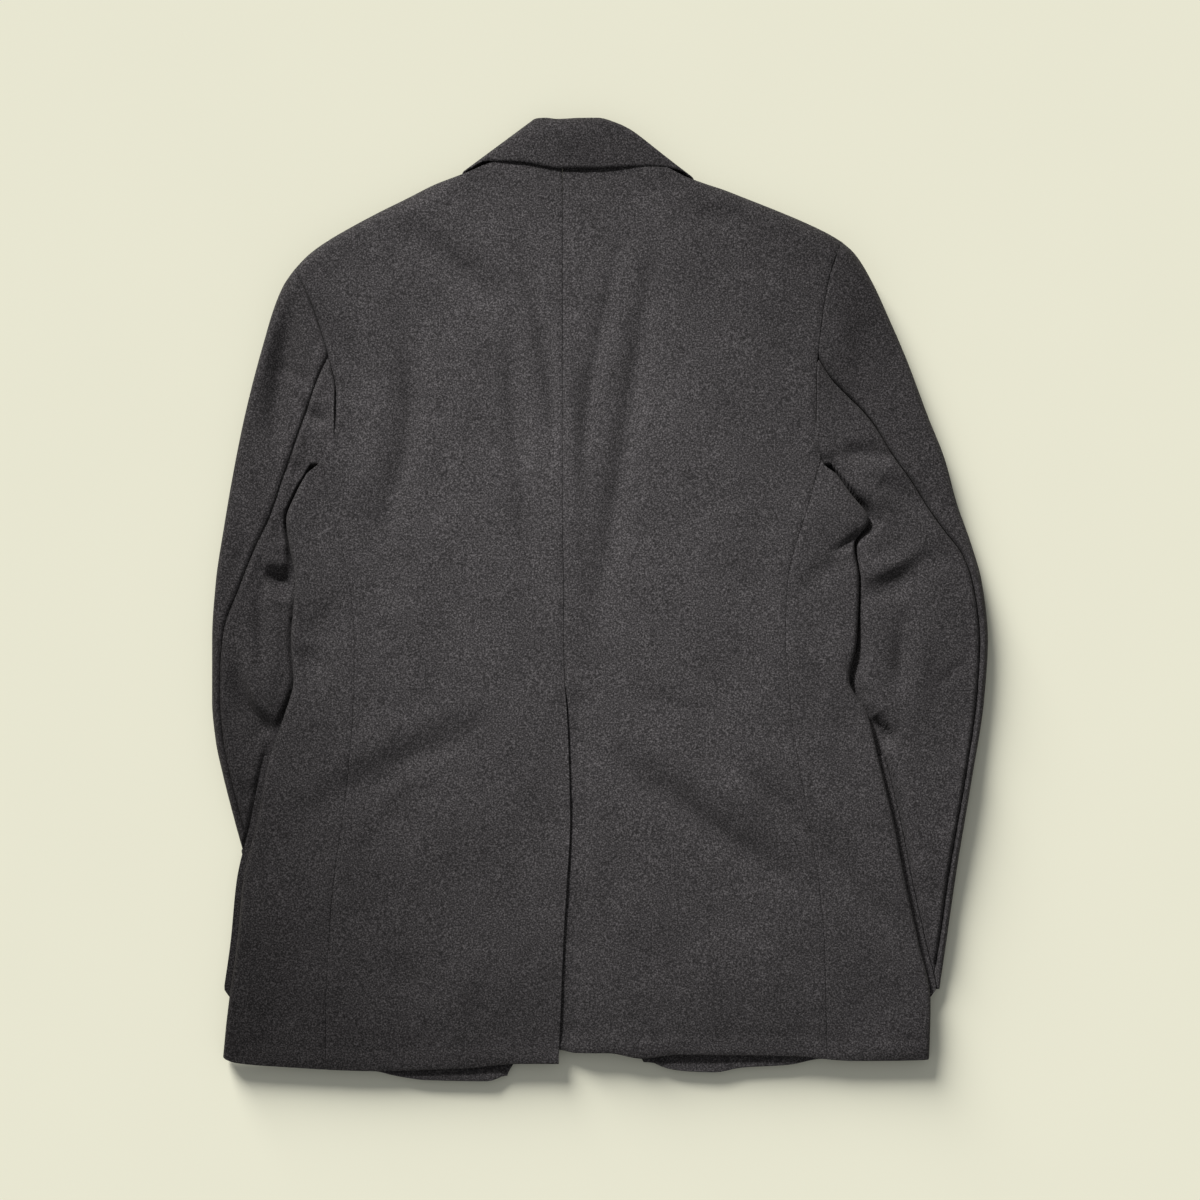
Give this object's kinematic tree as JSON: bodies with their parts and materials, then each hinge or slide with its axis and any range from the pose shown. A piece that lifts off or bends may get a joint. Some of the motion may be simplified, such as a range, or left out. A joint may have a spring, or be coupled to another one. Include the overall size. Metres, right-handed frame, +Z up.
{
  "type": "blazer laid flat on its front",
  "caption": "Tailored wool flannel blazer lying face down: two-piece sleeves, side bodies, back vent, notch lapels, collar with stand and hip patch pockets.",
  "frame": {"origin": "middle of the jacket's outline, on the surface that it lies on", "axes": "+X from the jacket's left side to its right side, +Y from the hem to the collar, +Z up from the surface, through the front to the back"},
  "size_m": [0.6417, 0.7968, 0.0265],
  "materials": {
    "wool_flannel": "matte, milled and slightly heathered charcoal wool flannel",
    "horn_button": "dark brown horn look, satin"
  },
  "bodies": {
    "root": {"back_left": "wool_flannel", "back_right": "wool_flannel", "side_left": "wool_flannel", "side_right": "wool_flannel", "front_left": "wool_flannel", "front_right": "wool_flannel", "lapel_left": "wool_flannel", "lapel_right": "wool_flannel", "pocket_left": "wool_flannel", "pocket_right": "wool_flannel", "sleeve_top_left": "wool_flannel", "sleeve_top_right": "wool_flannel", "sleeve_under_left": "wool_flannel", "sleeve_under_right": "wool_flannel", "collar": "wool_flannel", "collar_stand": "wool_flannel", "button_upper": "horn_button", "button_lower": "horn_button"}
  },
  "joints": []
}
